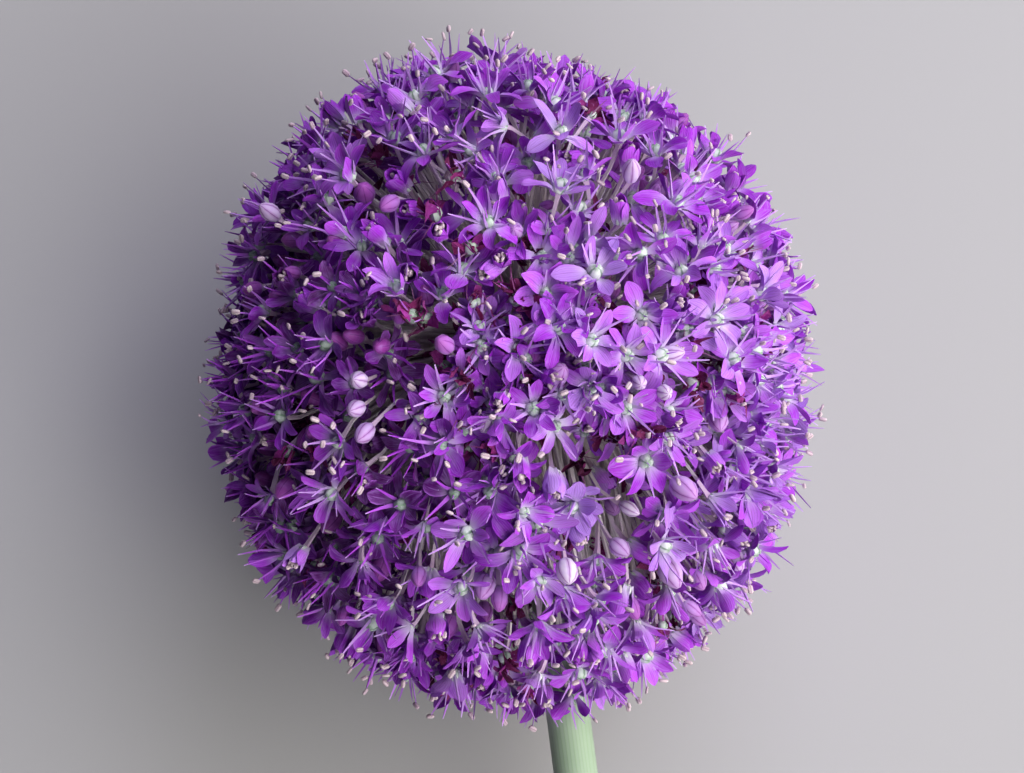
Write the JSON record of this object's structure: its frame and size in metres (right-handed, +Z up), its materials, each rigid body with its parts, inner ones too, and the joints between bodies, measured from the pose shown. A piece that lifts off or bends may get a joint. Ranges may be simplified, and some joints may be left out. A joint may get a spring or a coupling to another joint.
{
  "type": "giant allium bloom",
  "caption": "Cut giant allium: a round head of small starry purple florets on thin stalks that radiate from the top of one smooth, leafless green stem. It lies on its side.",
  "frame": {"origin": "on the surface that the flower lies on, under the middle of the whole flower's box", "axes": "+Y from the stem's cut end towards the head, +Z up from the surface, +X to the right for someone who looks along +Y"},
  "size_m": [0.1336, 0.3094, 0.1257],
  "materials": {
    "tepal": "soft satin petal, lilac purple with darker veins",
    "scape": "smooth fresh stem with a faint waxy bloom",
    "pedicel": "smooth pale green flower stalk, purple near the floret",
    "filament": "thin satin thread, whitish at the base",
    "anther": "matte, powdery cream",
    "ovary": "smooth pale green with darker seams",
    "withered": "dry crumpled petal, burgundy"
  },
  "bodies": {
    "root": {"umbel": "tepal", "scape": "scape"}
  },
  "joints": []
}
